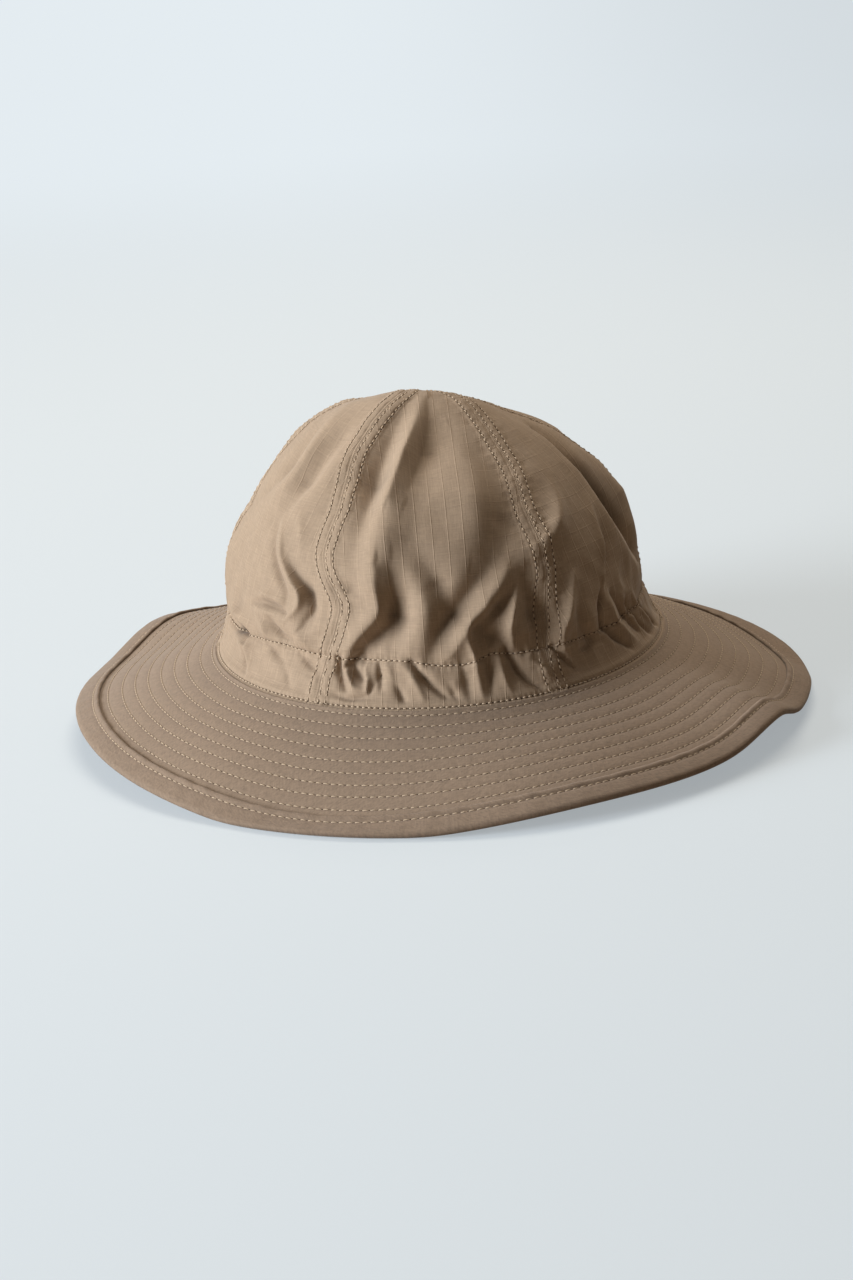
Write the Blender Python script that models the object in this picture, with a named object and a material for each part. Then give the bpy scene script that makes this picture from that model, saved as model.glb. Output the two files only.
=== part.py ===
"""Boonie hat: a soft crown of six sewn panels on a wide quilted brim.

Metres, +Z up. The hat faces -Y and rests on its brim at z = 0, with the middle of its plan at the origin.
Angles run round the hat in degrees, from 0 at the front (-Y) through 90 at +X.
"""

from math import asin, atan2, cos, exp, hypot, pi, radians, sin

import bmesh
import bpy
from mathutils import Vector

MM = 0.001

# Plan of the hat: the oval where crown meets brim, and the oval of the brim's edge.
SEAM_HALF_WIDTH = 91.5 * MM
SEAM_HALF_LENGTH = 95.5 * MM
BRIM_HALF_WIDTH = 150.0 * MM
BRIM_HALF_LENGTH = 152.0 * MM

# Cloth.
CLOTH = 0.4 * MM
GAP = 0.3 * MM
INTERLINING = 0.4 * MM
ELASTIC_THICKNESS = 0.7 * MM
SWEATBAND_THICKNESS = 0.5 * MM

# The brim falls from the head seam to its edge, further where it droops and less where it is raised.
BRIM_DROP = 20.4 * MM
BRIM_WAVES = (  # where, half its width in degrees, and how much further the edge drops there
    (340, 27, 8.0 * MM),
    (54, 8, -5.0 * MM),
    (102, 19, 8.5 * MM),
    (141, 25, 7.0 * MM),
    (190, 18, 8.5 * MM),
    (236, 12, -7.5 * MM),
    (281, 26, -3.5 * MM),
)
BINDING_WIDTH = 9.2 * MM
LYING_WIDTH = 4.5 * MM  # how much of the brim's edge lies flat where it touches the table
BINDING_OFFSET = INTERLINING / 2 + GAP + CLOTH + GAP  # from the brim's middle to the inside of the binding
BRIM_HALF_THICKNESS = BINDING_OFFSET + CLOTH
SEAM_HEIGHT = 25.5 * MM + BRIM_HALF_THICKNESS  # the brim's middle layer at the head seam
BRIM_TURN_IN = 2.0 * MM  # how far the brim reaches in under the crown

# The crown: a domed body with a flare at its foot, pinched at the top of the elastic's channel.
CROWN_FOOT = SEAM_HEIGHT + INTERLINING / 2 + 2 * GAP + CLOTH
CROWN_HEIGHT = 96.5 * MM
CROWN_HALF_WIDTH = 83.5 * MM
CROWN_HALF_LENGTH = 87.5 * MM
CROWN_ROUNDNESS = 2.27  # exponent of the dome's superellipse
CROWN_LEAN = Vector((-3.0 * MM, 16.0 * MM, 0))  # how far the soft tip sinks to the right and the back
FOOT_FLARE = 8.0 * MM
FOOT_FLARE_HEIGHT = 7.5 * MM
CHANNEL_HEIGHT = 17.0 * MM
CHANNEL_PINCH = 1.0 * MM
TIP_RADIUS = 1.5 * MM

# Inside the crown.
SEAMS = (30, 90, 150, 210, 270, 330)
PANEL_NAMES = {
    0: "crown_panel_front",
    60: "crown_panel_front_left",
    120: "crown_panel_back_left",
    180: "crown_panel_back",
    240: "crown_panel_back_right",
    300: "crown_panel_front_right",
}
TAPE_WIDTH = 10.0 * MM
TAPE_DEPTH = CLOTH + 0.5 * MM
TAPE_END_RADIUS = 10.0 * MM  # where the short tapes stop, beside the long one
ELASTIC_WIDTH = 14.0 * MM
ELASTIC_DEPTH = TAPE_DEPTH + CLOTH + GAP
SWEATBAND_DEPTH = ELASTIC_DEPTH + ELASTIC_THICKNESS + GAP
SWEATBAND_TOP = CHANNEL_HEIGHT + 6.0 * MM
SWEATBAND_BOTTOM = -4.0 * MM

# Mesh steps.
DEGREES_A_STEP = 6
PANEL_ROWS = 11
BRIM_ROWS = 2

KHAKI = (0.36, 0.28, 0.20)
KHAKI_INSIDE = (0.30, 0.23, 0.16)
MATERIALS = {  # colour and roughness of each
    "crown_cloth": (KHAKI, 0.85),
    "brim_cloth": (KHAKI, 0.88),
    "tape": (KHAKI_INSIDE, 0.9),
    "sweatband_cloth": (KHAKI_INSIDE, 0.9),
    "interlining": ((0.75, 0.73, 0.68), 0.95),
    "elastic": ((0.80, 0.78, 0.72), 0.8),
}


def material(name):
    found = bpy.data.materials.get(name)
    if found:
        return found
    colour, roughness = MATERIALS[name]
    made = bpy.data.materials.new(name)
    made.use_nodes = True
    shader = made.node_tree.nodes["Principled BSDF"]
    shader.inputs["Base Color"].default_value = (*colour, 1)
    shader.inputs["Roughness"].default_value = roughness
    shader.inputs["Metallic"].default_value = 0
    return made


def add_quad(bm, a, b, c, d):
    """Two triangles, split along the higher diagonal so that layers lying on each other bend alike."""
    if a.co.z + c.co.z >= b.co.z + d.co.z:
        bm.faces.new((a, b, c))
        bm.faces.new((a, c, d))
    else:
        bm.faces.new((a, b, d))
        bm.faces.new((b, c, d))


def shell(name, material_name, outer, inner, ring):
    """A sheet with thickness: outer[i][j] and inner[i][j] are its two faces, closed round i where it is a ring."""
    bm = bmesh.new()
    faces_out = [[bm.verts.new(p) for p in row] for row in outer]
    faces_in = [[bm.verts.new(p) for p in row] for row in inner]
    rows, across = len(outer), len(outer[0])
    for i in range(rows if ring else rows - 1):
        k = (i + 1) % rows
        for j in range(across - 1):
            add_quad(bm, faces_out[i][j], faces_out[k][j], faces_out[k][j + 1], faces_out[i][j + 1])
            add_quad(bm, faces_in[i][j], faces_in[k][j], faces_in[k][j + 1], faces_in[i][j + 1])
        for j in (0, across - 1):
            add_quad(bm, faces_out[i][j], faces_in[i][j], faces_in[k][j], faces_out[k][j])
    if not ring:
        for i in (0, rows - 1):
            for j in range(across - 1):
                add_quad(bm, faces_out[i][j], faces_out[i][j + 1], faces_in[i][j + 1], faces_in[i][j])
    bmesh.ops.recalc_face_normals(bm, faces=bm.faces)
    mesh = bpy.data.meshes.new(name)
    bm.to_mesh(mesh)
    bm.free()
    mesh.shade_smooth()
    mesh.set_sharp_from_angle(angle=radians(50))
    mesh.materials.append(material(material_name))
    made = bpy.data.objects.new(name, mesh)
    bpy.context.collection.objects.link(made)
    return made


def steps(start, end, count):
    """count + 1 evenly spaced values from start to end."""
    return [start + (end - start) * i / count for i in range(count + 1)]


# The brim


def brim_drop(angle):
    """How far the brim's edge lies below the head seam."""
    drop = BRIM_DROP
    for centre, half_width, extra in BRIM_WAVES:
        away = (angle - centre + 180) % 360 - 180
        drop += extra * exp(-((away / half_width) ** 2))
    return drop


def brim_point(angle, share, offset):
    """share runs from 0 at the head seam to 1 at the edge, and offset is above the brim's middle layer.

    The brim is level where it turns in under the crown, and lies flat where it would fall below the table.
    """
    turn = radians(angle)
    half_width = SEAM_HALF_WIDTH + (BRIM_HALF_WIDTH - SEAM_HALF_WIDTH) * share
    half_length = SEAM_HALF_LENGTH + (BRIM_HALF_LENGTH - SEAM_HALF_LENGTH) * share
    middle = max(SEAM_HEIGHT - brim_drop(angle) * max(share, 0.0), BRIM_HALF_THICKNESS)
    return Vector((half_width * sin(turn), -half_length * cos(turn), middle + offset))


BRIM_REACH = BRIM_HALF_WIDTH - SEAM_HALF_WIDTH
INNER_SHARE = -BRIM_TURN_IN / BRIM_REACH
FOLD_SHARE = 1 - BINDING_WIDTH / BRIM_REACH
LYING_SHARE = 1 - LYING_WIDTH / BRIM_REACH
TURN_SHARE = 1 - CLOTH / BRIM_REACH
OUTER_SHARE = 1 - (CLOTH + GAP) / BRIM_REACH
ROUND = range(0, 360, DEGREES_A_STEP)


def brim_layer(name, material_name, low, high):
    shares = [INNER_SHARE, *steps(0.0, FOLD_SHARE, BRIM_ROWS), LYING_SHARE, OUTER_SHARE]
    outer = [[brim_point(a, s, high) for s in shares] for a in ROUND]
    inner = [[brim_point(a, s, low) for s in shares] for a in ROUND]
    return shell(name, material_name, outer, inner, ring=True)


def brim_binding():
    """A strip folded over the brim's edge: along the top, round the edge and back underneath."""
    high, inside = BRIM_HALF_THICKNESS, BINDING_OFFSET
    along = (FOLD_SHARE, LYING_SHARE, TURN_SHARE)
    outside_path = [(s, high) for s in along] + [(1, inside * 0.6), (1, -inside * 0.6)]
    outside_path += [(s, -high) for s in along[::-1]]
    inside_path = [(s, inside) for s in along] + [(TURN_SHARE, inside * 0.6), (TURN_SHARE, -inside * 0.6)]
    inside_path += [(s, -inside) for s in along[::-1]]
    outer = [[brim_point(a, s, z) for s, z in outside_path] for a in ROUND]
    inner = [[brim_point(a, s, z) for s, z in inside_path] for a in ROUND]
    return shell("brim_binding", "brim_cloth", outer, inner, ring=True)


def make_brim():
    middle = INTERLINING / 2
    brim_layer("brim_interlining", "interlining", -middle, middle)
    brim_layer("brim_upper", "brim_cloth", middle + GAP, middle + GAP + CLOTH)
    brim_layer("brim_lower", "brim_cloth", -middle - GAP - CLOTH, -middle - GAP)
    brim_binding()


# The crown


def crown_half_sizes(rise):
    """Half the crown's width and length at a height above its foot."""
    shrink = max(0.0, 1 - (max(rise, 0.0) / CROWN_HEIGHT) ** CROWN_ROUNDNESS) ** (1 / CROWN_ROUNDNESS)
    flare = FOOT_FLARE * exp(-max(rise, 0.0) / FOOT_FLARE_HEIGHT) * shrink
    pinch = CHANNEL_PINCH * exp(-(((rise - CHANNEL_HEIGHT) / (5 * MM)) ** 2))
    return CROWN_HALF_WIDTH * shrink + flare - pinch, CROWN_HALF_LENGTH * shrink + flare - pinch


def crown_surface(angle, rise):
    """A point on the outside of the crown."""
    turn = radians(angle)
    half_width, half_length = crown_half_sizes(rise)
    lean = CROWN_LEAN * (max(rise, 0.0) / CROWN_HEIGHT) ** 4
    return Vector((half_width * sin(turn), -half_length * cos(turn), CROWN_FOOT + rise)) + lean


def crown_point(angle, rise, depth):
    """A point that far inside the crown's outer surface. Low down it keeps its height, so nothing dips."""
    here = crown_surface(angle, rise)
    if depth == 0:
        return here
    nudge = 0.2 * MM
    low, high = (rise, rise + nudge) if rise < CROWN_HEIGHT / 2 else (rise - nudge, rise)
    round_it = crown_surface(angle + 0.5, rise) - crown_surface(angle - 0.5, rise)
    up_it = crown_surface(angle, high) - crown_surface(angle, low)
    inward = -round_it.cross(up_it).normalized()
    if rise < CROWN_HEIGHT / 2:
        inward.z = 0
        inward /= inward.length_squared
    return here + inward * depth


def rise_at_radius(radius):
    """The height above the foot where the dome is that far from its middle, across its width."""
    share = min(1.0, radius / CROWN_HALF_WIDTH)
    return CROWN_HEIGHT * (1 - share**CROWN_ROUNDNESS) ** (1 / CROWN_ROUNDNESS)


def panel_rises():
    """Heights of a panel's rows: closer together near the foot and the tip."""
    turns = steps(0.0, pi / 2, PANEL_ROWS)[2:-1]
    dome = [CROWN_HEIGHT * sin(t) ** (2 / CROWN_ROUNDNESS) for t in turns]
    above_channel = [r for r in dome if r > CHANNEL_HEIGHT + 6 * MM]
    return [0.0, 5 * MM, 11 * MM, CHANNEL_HEIGHT, *above_channel, rise_at_radius(TIP_RADIUS)]


def make_panel(middle, name):
    """One of the six tapered panels, between the two seams 30 degrees either side of its middle."""
    seam_gap = GAP / 2
    outer, inner = [], []
    for angle in range(middle - 30, middle + 31, DEGREES_A_STEP):
        rows_out, rows_in = [], []
        for rise in panel_rises():
            radius = crown_half_sizes(rise)[0]
            trim = (1 if angle == middle - 30 else -1) * asin(seam_gap / radius) * 180 / pi
            at = angle + (trim if abs(angle - middle) == 30 else 0)
            rows_out.append(crown_point(at, rise, 0))
            rows_in.append(crown_point(at, rise, CLOTH))
        outer.append(rows_out)
        inner.append(rows_in)
    return shell(name, "crown_cloth", outer, inner, ring=False)


def tape_point(seam, rise, side, depth):
    """A point to one side of a seam, on a tape that far inside the crown."""
    radius = crown_half_sizes(rise)[0]
    angle = seam + atan2(side, radius) * 180 / pi
    if rise > CROWN_HEIGHT / 2:
        rise = rise_at_radius(hypot(rise_radius(rise), side))
    return crown_point(angle, rise, depth)


def rise_radius(rise):
    """The dome's radius at a height, without the flare at its foot."""
    share = min(1.0, rise / CROWN_HEIGHT)
    return CROWN_HALF_WIDTH * (1 - share**CROWN_ROUNDNESS) ** (1 / CROWN_ROUNDNESS)


def tape_columns(seam, rises):
    half = TAPE_WIDTH / 2
    outer = [[tape_point(seam, r, s, TAPE_DEPTH) for s in (-half, 0, half)] for r in rises]
    inner = [[tape_point(seam, r, s, TAPE_DEPTH + CLOTH) for s in (-half, 0, half)] for r in rises]
    return outer, inner


def make_tapes():
    """Four short tapes end beside the long one, which runs over the crown from side to side."""
    end = rise_at_radius(TAPE_END_RADIUS)
    short = [r for r in panel_rises() if r < end] + [end]
    for seam, place in ((30, "front_left"), (150, "back_left"), (210, "back_right"), (330, "front_right")):
        outer, inner = tape_columns(seam, short)
        shell(f"seam_tape_{place}", "tape", outer, inner, ring=False)
    near_tip = rise_at_radius(TIP_RADIUS)
    up = [r for r in panel_rises() if r < near_tip]
    out_left, in_left = tape_columns(90, up)
    out_right, in_right = tape_columns(270, up)
    flip = lambda rows: [row[::-1] for row in rows[::-1]]
    shell("seam_tape_side_to_side", "tape", out_left + flip(out_right), in_left + flip(in_right), ring=False)


def band(name, material_name, low, high, depth, thickness, rows):
    """A strip round the inside of the crown's foot."""
    rises = steps(low, high, rows)
    outer = [[crown_point(a, r, depth) for r in rises] for a in ROUND]
    inner = [[crown_point(a, r, depth + thickness) for r in rises] for a in ROUND]
    return shell(name, material_name, outer, inner, ring=True)


def make_bands():
    spare = (CHANNEL_HEIGHT - ELASTIC_WIDTH) / 2
    band("elastic_band", "elastic", spare, spare + ELASTIC_WIDTH, ELASTIC_DEPTH, ELASTIC_THICKNESS, 3)
    band(
        "sweatband",
        "sweatband_cloth",
        SWEATBAND_BOTTOM,
        SWEATBAND_TOP,
        SWEATBAND_DEPTH,
        SWEATBAND_THICKNESS,
        4,
    )


def main():
    for old in list(bpy.data.objects):
        bpy.data.objects.remove(old)
    make_brim()
    for middle, name in PANEL_NAMES.items():
        make_panel(middle, name)
    make_tapes()
    make_bands()


main()
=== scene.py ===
from math import cos, pi, radians, sin

import bmesh
import bpy
import numpy as np
from mathutils import Matrix, Vector, noise


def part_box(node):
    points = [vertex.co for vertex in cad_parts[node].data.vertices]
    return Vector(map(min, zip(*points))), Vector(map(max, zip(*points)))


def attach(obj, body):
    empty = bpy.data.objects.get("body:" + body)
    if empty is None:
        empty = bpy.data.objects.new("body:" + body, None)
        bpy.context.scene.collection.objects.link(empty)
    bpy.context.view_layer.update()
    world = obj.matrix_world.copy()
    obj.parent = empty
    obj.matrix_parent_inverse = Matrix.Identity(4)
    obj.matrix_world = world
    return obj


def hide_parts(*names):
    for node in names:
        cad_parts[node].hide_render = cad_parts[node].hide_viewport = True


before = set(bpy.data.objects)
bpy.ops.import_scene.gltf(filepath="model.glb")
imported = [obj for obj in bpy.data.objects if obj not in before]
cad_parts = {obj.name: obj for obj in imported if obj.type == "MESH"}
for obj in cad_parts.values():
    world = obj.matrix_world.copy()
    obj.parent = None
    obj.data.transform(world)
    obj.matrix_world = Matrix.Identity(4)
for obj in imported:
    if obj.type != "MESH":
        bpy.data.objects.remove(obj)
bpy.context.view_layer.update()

mm = 0.001
bpy.ops.object.select_all(action="DESELECT")

# Sizes that the frame gives
frontLow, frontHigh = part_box("crown_panel_front")
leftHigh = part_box("crown_panel_front_left")[1]
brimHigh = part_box("brim_binding")[1]
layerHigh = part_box("brim_interlining")[1]
footHeight = frontLow[2]
crownHeight = frontHigh[2] - footHeight
seamHalf = np.array([leftHigh[0], -frontLow[1]])
brimHalf = np.array([brimHigh[0], brimHigh[1]])
brimReach = brimHalf[0] - seamHalf[0]
brimMiddle = layerHigh[2] - 0.2 * mm  # the brim's middle layer, where it meets the crown

# Camera and light

cameraSettings = {
    "distance": 1.1,
    "elevation": 17.97,  # degrees
    "roll": -3.62,
    "lens": 75.65,
    "shift": (-0.0104, -0.0055),
}


def addCamera(settings):
    data = bpy.data.cameras.new("camera")
    data.lens = settings["lens"]
    data.shift_x, data.shift_y = settings["shift"]
    camera = bpy.data.objects.new("camera", data)
    up = radians(settings["elevation"])
    turn = Matrix.Rotation(pi / 2 - up, 4, "X") @ Matrix.Rotation(radians(settings["roll"]), 4, "Z")
    aim = Vector((0, 0, footHeight))
    away = Vector((0, -cos(up), sin(up))) * settings["distance"]
    camera.matrix_world = Matrix.Translation(aim + away) @ turn
    bpy.context.collection.objects.link(camera)
    bpy.context.scene.camera = camera


lightSettings = {
    "window": {"place": (-2.0, -0.80, 0.58), "size": (1.2, 1.3), "power": 80, "colour": (0.93, 1.0, 1.08)},
    "ceiling": {"place": (0.15, 0.95, 1.6), "size": (1.3, 1.1), "power": 23, "colour": (1.02, 0.94, 0.82)},
    "world": (0.092, 0.074, 0.056),
    "backdrop": (0.735, 0.79, 0.82),  # what the camera sees beyond the floor
}


def addLamp(name, use):
    data = bpy.data.lights.new(name, "AREA")
    data.shape = "RECTANGLE"
    data.size, data.size_y = use["size"]
    data.energy = use["power"]
    data.color = use["colour"]
    lamp = bpy.data.objects.new(name, data)
    lamp.location = use["place"]
    towards = Vector((0, 0, 0.06)) - lamp.location
    lamp.rotation_euler = towards.to_track_quat("-Z", "Y").to_euler()
    bpy.context.collection.objects.link(lamp)


def addLights(settings):
    addLamp("window", settings["window"])
    addLamp("ceiling", settings["ceiling"])
    world = bpy.data.worlds.new("room")
    world.use_nodes = True
    tree = world.node_tree
    ray = tree.nodes.new("ShaderNodeLightPath")
    seen = ray.outputs["Is Camera Ray"]
    for kind in ("Is Glossy Ray", "Is Transmission Ray"):
        either = tree.nodes.new("ShaderNodeMath")
        either.operation, either.use_clamp = "ADD", True
        tree.links.new(seen, either.inputs[0])
        tree.links.new(ray.outputs[kind], either.inputs[1])
        seen = either.outputs[0]
    mix = tree.nodes.new("ShaderNodeMix")
    mix.data_type = "RGBA"
    mix.inputs[6].default_value = (*settings["world"], 1)
    mix.inputs[7].default_value = (*settings["backdrop"], 1)
    tree.links.new(seen, mix.inputs[0])
    tree.links.new(mix.outputs[2], tree.nodes["Background"].inputs["Color"])
    bpy.context.scene.world = world


addCamera(cameraSettings)
addLights(lightSettings)
bpy.context.scene.view_settings.view_transform = "Standard"
print("camera and light ready")

# Shader building


class Value:  # a shader socket that can be added, multiplied and so on
    def __init__(self, recipe, socket):
        self.recipe, self.socket = recipe, socket

    def __add__(self, other):
        return self.recipe.maths("ADD", self, other)

    def __sub__(self, other):
        return self.recipe.maths("SUBTRACT", self, other)

    def __rsub__(self, other):
        return self.recipe.maths("SUBTRACT", other, self)

    def __mul__(self, other):
        return self.recipe.maths("MULTIPLY", self, other)

    __radd__ = __add__
    __rmul__ = __mul__


class Recipe:  # one material and the nodes that make it
    def __init__(self, name):
        self.material = bpy.data.materials.new(name)
        self.material.use_nodes = True
        self.tree = self.material.node_tree
        self.shader = self.tree.nodes["Principled BSDF"]

    def node(self, kind, settings, sockets, output=0):
        made = self.tree.nodes.new(kind)
        for name, value in settings.items():
            setattr(made, name, value)
        for name, value in sockets.items():
            self.feed(made.inputs[name], value)
        return Value(self, made.outputs[output])

    def feed(self, socket, value):
        if isinstance(value, Value):
            self.tree.links.new(value.socket, socket)
        else:
            socket.default_value = value

    def maths(self, operation, a, b):
        return self.node("ShaderNodeMath", {"operation": operation}, {0: a, 1: b})

    def clamp(self, value, low=0.0, high=1.0):
        return self.node("ShaderNodeClamp", {}, {"Value": value, "Min": low, "Max": high})

    def smooth(self, value, low, high, fromValue=0.0, toValue=1.0):
        sockets = {"Value": value, 1: low, 2: high, 3: fromValue, 4: toValue}
        return self.node("ShaderNodeMapRange", {"interpolation_type": "SMOOTHSTEP"}, sockets)

    def speckle(self, vector, scale, detail=2.0, roughness=0.5):
        sockets = {"Vector": vector, "Scale": scale, "Detail": detail, "Roughness": roughness}
        return self.node("ShaderNodeTexNoise", {}, sockets)

    def stretched(self, vector, scale):
        return self.node("ShaderNodeMapping", {}, {"Vector": vector, "Scale": scale})

    def turned(self, vector, angle):
        return self.node("ShaderNodeMapping", {}, {"Vector": vector, "Rotation": (0, 0, angle)})

    def mixed(self, factor, a, b, blend="MIX"):
        settings = {"data_type": "RGBA", "blend_type": blend}
        return self.node("ShaderNodeMix", settings, {0: factor, 6: a, 7: b}, output=2)

    def tinted(self, colour, tone):
        grey = self.node("ShaderNodeCombineColor", {}, {0: tone, 1: tone, 2: tone})
        return self.mixed(1.0, colour, grey, "MULTIPLY")

    def lines(self, along, pitch, width):  # thin lines a pitch apart, 1 on a line and 0 between
        fold = self.node("ShaderNodeMath", {"operation": "PINGPONG"}, {0: along, 1: pitch / 2})
        return self.smooth(fold, 0.0, width, 1.0, 0.0)

    def bump(self, height, distance, strength=1.0):
        sockets = {"Height": height, "Distance": distance, "Strength": strength}
        return self.node("ShaderNodeBump", {}, sockets)

    def finish(self, colour, roughness, normal=None):
        self.feed(self.shader.inputs["Base Color"], colour)
        self.feed(self.shader.inputs["Roughness"], roughness)
        if normal:
            self.feed(self.shader.inputs["Normal"], normal)
        return self.material


def shade(colour, amount):
    return tuple(c * amount for c in colour[:3]) + (1.0,)


clothSettings = {
    "crown": {"colour": (0.355, 0.254, 0.170), "grid": 5.9 * mm, "twill": False, "yarn": 2200, "slub": 150},
    "brim": {"colour": (0.264, 0.187, 0.128), "grid": None, "twill": True, "yarn": 1500, "slub": 260},
    "inside": {"colour": (0.290, 0.208, 0.140), "grid": None, "twill": False, "yarn": 2200, "slub": 150},
    "binding": {"colour": (0.248, 0.175, 0.120), "grid": None, "twill": True, "yarn": 1500, "slub": 260},
}

weaveSettings = {
    "gridLine": 0.34 * mm,
    "gridStrength": 1.5,
    "floatTurn": 58,  # degrees that the twill's floats lean
    "floatScale": (1500, 420, 1),
    "foldShadeStrength": 0.64,  # how much darker the darkest seam line or painted fold shade is
    "relief": 0.16 * mm,
}


def clothMaterial(name, settings):
    # Plain weave with slubs, and for the crown a ripstop grid. The UV map "weave" is in metres.
    use = weaveSettings
    r = Recipe(name)
    weave = r.node("ShaderNodeUVMap", {"uv_map": "weave"}, {})
    place = r.node("ShaderNodeTexCoord", {}, {}, output="Object")
    split = r.node("ShaderNodeSeparateXYZ", {}, {"Vector": weave})
    across, along = split, Value(r, split.socket.node.outputs[1])
    warp = r.speckle(r.stretched(weave, (settings["yarn"], settings["slub"], 1)), 1.0, 2.0, 0.6)
    weft = r.speckle(r.stretched(weave, (settings["slub"], settings["yarn"], 1)), 1.0, 2.0, 0.6)
    mottle = r.speckle(place, 26.0, 3.0, 0.55)
    fleck = r.speckle(place, 900.0, 2.0, 0.6)
    tone = 1.0 + (warp - 0.5) * 0.42 + (weft - 0.5) * 0.42 + (mottle - 0.5) * 0.16 + (fleck - 0.5) * 0.16
    height = warp * 0.5 + weft * 0.5
    if settings["twill"]:  # short floats that step across the cloth
        leaning = r.turned(weave, radians(use["floatTurn"]))
        steps = r.speckle(r.stretched(leaning, use["floatScale"]), 1.0, 1.0, 0.5)
        tone = tone + (steps - 0.5) * 0.50
        height = height + steps * 0.8
    if settings["grid"]:
        upright = r.lines(across, settings["grid"], use["gridLine"]) * use["gridStrength"]
        level = r.lines(along, settings["grid"] * 1.08, use["gridLine"]) * use["gridStrength"]
        tone = tone + upright * 0.085 + level * 0.035
        height = height + upright * 0.5 + level * 0.3
    # painted shade: this point attribute darkens the cloth in fold hollows and at the binding's step, where shade
    # falls, and along seam and stitch lines
    seamsAndFoldShade = r.node("ShaderNodeAttribute", {"attribute_name": "seamsAndFoldShade"}, {}, output="Fac")
    colour = r.tinted((*settings["colour"], 1.0), tone * (1.0 - seamsAndFoldShade * use["foldShadeStrength"]))
    normal = r.bump(height, use["relief"], 0.7)
    r.shader.inputs["Specular IOR Level"].default_value = 0.22
    r.shader.inputs["Sheen Weight"].default_value = 0.12
    r.shader.inputs["Sheen Roughness"].default_value = 0.5
    return r.finish(colour, 0.86 - mottle * 0.06, normal)


def plainMaterial(name, colour, roughness, grain):
    r = Recipe(name)
    place = r.node("ShaderNodeTexCoord", {}, {}, output="Object")
    fleck = r.speckle(place, grain, 2.0, 0.6)
    tone = 0.86 + fleck * 0.28
    r.shader.inputs["Specular IOR Level"].default_value = 0.3
    return r.finish(r.tinted((*colour, 1.0), tone), roughness)


materials = {name + "Cloth": clothMaterial(name + "Cloth", use) for name, use in clothSettings.items()}
for name, colour, roughness, grain in (
    ("thread", (0.53, 0.40, 0.275), 0.6, 1500.0),
    # painted shade: the needle holes' dark colour stands in for the shadow inside them
    ("needleHoleShade", (0.12, 0.078, 0.048), 0.95, 700.0),
    ("elastic", (0.72, 0.70, 0.64), 0.8, 1200.0),
    ("stiffener", (0.70, 0.68, 0.62), 0.9, 900.0),
):
    materials[name] = plainMaterial(name, colour, roughness, grain)
print("materials ready")

# Surfaces as grids of points


def meshPiece(name, points, faces, material, replaces=(), uv=None, marks=None):
    mesh = bpy.data.meshes.new(name)
    mesh.from_pydata(points.tolist(), [], faces)
    mesh.materials.append(materials[material])
    loops = np.empty(len(mesh.loops), dtype=np.int32)
    mesh.loops.foreach_get("vertex_index", loops)
    if uv is not None:
        mesh.uv_layers.new(name="weave").data.foreach_set("uv", uv[loops].ravel().astype(np.float32))
    if marks is not None:
        mesh.attributes.new("seamsAndFoldShade", "FLOAT", "POINT").data.foreach_set("value", marks.astype(np.float32))
    mesh.validate()
    mesh.shade_smooth()
    piece = bpy.data.objects.new(name, mesh)
    bpy.context.collection.objects.link(piece)
    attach(piece, "root")
    if replaces:
        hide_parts(*replaces)
    return piece


def gridFaces(rows, columns, ring, start, flip):
    i = np.arange(rows if ring else rows - 1)[:, None]
    j = np.arange(columns - 1)[None, :]
    k = (i + 1) % rows
    corners = [i * columns + j, k * columns + j, k * columns + j + 1, i * columns + j + 1]
    quads = np.stack([np.broadcast_to(c, (i.size, columns - 1)).ravel() for c in corners], 1) + start
    return quads[:, ::-1] if flip else quads


def shellPiece(name, outer, inner, ring, material, slot, replaces=(), uv=None, marks=None):
    # outer and inner are (rows, columns, 3); rows run round the hat, columns up or outwards
    rows, columns = outer.shape[:2]
    count = rows * columns
    points = np.concatenate([outer.reshape(-1, 3), inner.reshape(-1, 3)])
    faces = [gridFaces(rows, columns, ring, 0, False), gridFaces(rows, columns, ring, count, True)]
    i = np.arange(rows if ring else rows - 1)
    k = (i + 1) % rows
    for j, low in ((0, True), (columns - 1, False)):
        near, far = i * columns + j, k * columns + j
        wall = np.stack([near, far, far + count, near + count], 1)
        faces.append(wall[:, ::-1] if low else wall)
    if not ring:
        j = np.arange(columns - 1)
        for i, first in ((0, True), (rows - 1, False)):
            near = i * columns + j
            wall = np.stack([near, near + 1, near + 1 + count, near + count], 1)
            faces.append(wall if first else wall[:, ::-1])
    if uv is not None:
        uv = np.concatenate([uv.reshape(-1, 2)] * 2)
    if marks is not None:
        marks = np.concatenate([marks.ravel(), marks.ravel() * 0])
    faces = np.concatenate(faces).tolist()
    return meshPiece(name, points, faces, material, replaces, uv, marks)


def normalsOf(grid):
    around = np.roll(grid, -1, 0) - np.roll(grid, 1, 0)
    upwards = np.gradient(grid, axis=1)
    normal = np.cross(around, upwards)
    return normal / np.maximum(np.linalg.norm(normal, axis=2, keepdims=True), 1e-12)


def bell(distance, width):
    return np.exp(-((distance / width) ** 2))


def crest(distance, width):
    # a narrow fold is sharper than a bell, like a crease pressed into cloth, and a broad one is soft
    sharp = np.exp(-(np.hypot(distance, 0.3 * width) - 0.3 * width) / (0.6 * width))
    soft = smoothStep(np.asarray(width, float), 3.5, 7.0)
    return sharp * (1 - soft) + bell(distance, width) * soft


def smoothStep(x, low, high):
    t = np.clip((x - low) / (high - low), 0, 1)
    return t * t * (3 - 2 * t)


def blurred(grid, reach, axis=0, edge="wrap"):
    # a running average over reach steps to either side
    kernel = np.hanning(2 * reach + 3)[1:-1]
    sides = [(reach, reach) if k == axis else (0, 0) for k in range(grid.ndim)]
    padded = np.pad(grid, sides, mode=edge)
    return np.apply_along_axis(np.convolve, axis, padded, kernel / kernel.sum(), "valid")


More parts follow.
